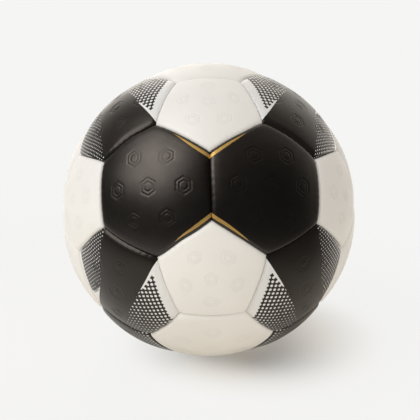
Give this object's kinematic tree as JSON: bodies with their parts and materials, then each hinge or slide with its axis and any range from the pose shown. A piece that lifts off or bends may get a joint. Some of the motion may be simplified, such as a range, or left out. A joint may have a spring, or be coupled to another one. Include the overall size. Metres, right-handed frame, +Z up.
{
  "type": "handball",
  "caption": "Sewn handball of padded pentagon and hexagon panels over a rubber bladder with a needle valve, for play in one hand.",
  "frame": {"origin": "middle of the ball", "axes": "+Z up through the middle of the top hexagon panel, -Y towards the viewer, +X to the viewer's right"},
  "size_m": [0.1734, 0.1744, 0.175],
  "materials": {
    "white_skin": "matt synthetic grip skin, warm white, lightly grained and embossed",
    "black_skin": "satin synthetic grip skin, black with printed gold stripes",
    "dotted_skin": "satin synthetic grip skin, charcoal with a pale halftone print",
    "foam": "soft closed-cell foam",
    "lining": "woven cotton and polyester backing",
    "bladder_rubber": "matt latex-like rubber",
    "valve_rubber": "moulded matt rubber",
    "thread": "waxed polyester thread"
  },
  "bodies": {
    "root": {"black_hexagon_back_left": "black_skin", "black_hexagon_back_right": "black_skin", "black_hexagon_front_left": "black_skin", "black_hexagon_front_right": "black_skin", "bladder": "bladder_rubber", "dotted_hexagon_back_lower_left": "dotted_skin", "dotted_hexagon_back_lower_right": "dotted_skin", "dotted_hexagon_back_upper_left": "dotted_skin", "dotted_hexagon_back_upper_right": "dotted_skin", "dotted_hexagon_front_lower_left": "dotted_skin", "dotted_hexagon_front_lower_right": "dotted_skin", "dotted_hexagon_front_upper_left": "dotted_skin", "dotted_hexagon_front_upper_right": "dotted_skin", "dotted_pentagon_lower_left": "dotted_skin", "dotted_pentagon_lower_right": "dotted_skin", "dotted_pentagon_upper_left": "dotted_skin", "dotted_pentagon_upper_right": "dotted_skin", "hexagon_foam_pads": "foam", "hexagon_linings": "lining", "pentagon_foam_pads": "foam", "pentagon_linings": "lining", "seam_threads": "thread", "valve_body": "valve_rubber", "valve_core": "valve_rubber", "white_hexagon_back_lower": "white_skin", "white_hexagon_back_upper": "white_skin", "white_hexagon_front_lower": "white_skin", "white_hexagon_front_upper": "white_skin", "white_hexagon_lower_left": "white_skin", "white_hexagon_lower_right": "white_skin", "white_hexagon_upper_left": "white_skin", "white_hexagon_upper_right": "white_skin", "white_pentagon_back_left": "white_skin", "white_pentagon_back_lower": "white_skin", "white_pentagon_back_right": "white_skin", "white_pentagon_back_upper": "white_skin", "white_pentagon_front_left": "white_skin", "white_pentagon_front_lower": "white_skin", "white_pentagon_front_right": "white_skin", "white_pentagon_front_upper": "white_skin"}
  },
  "joints": []
}
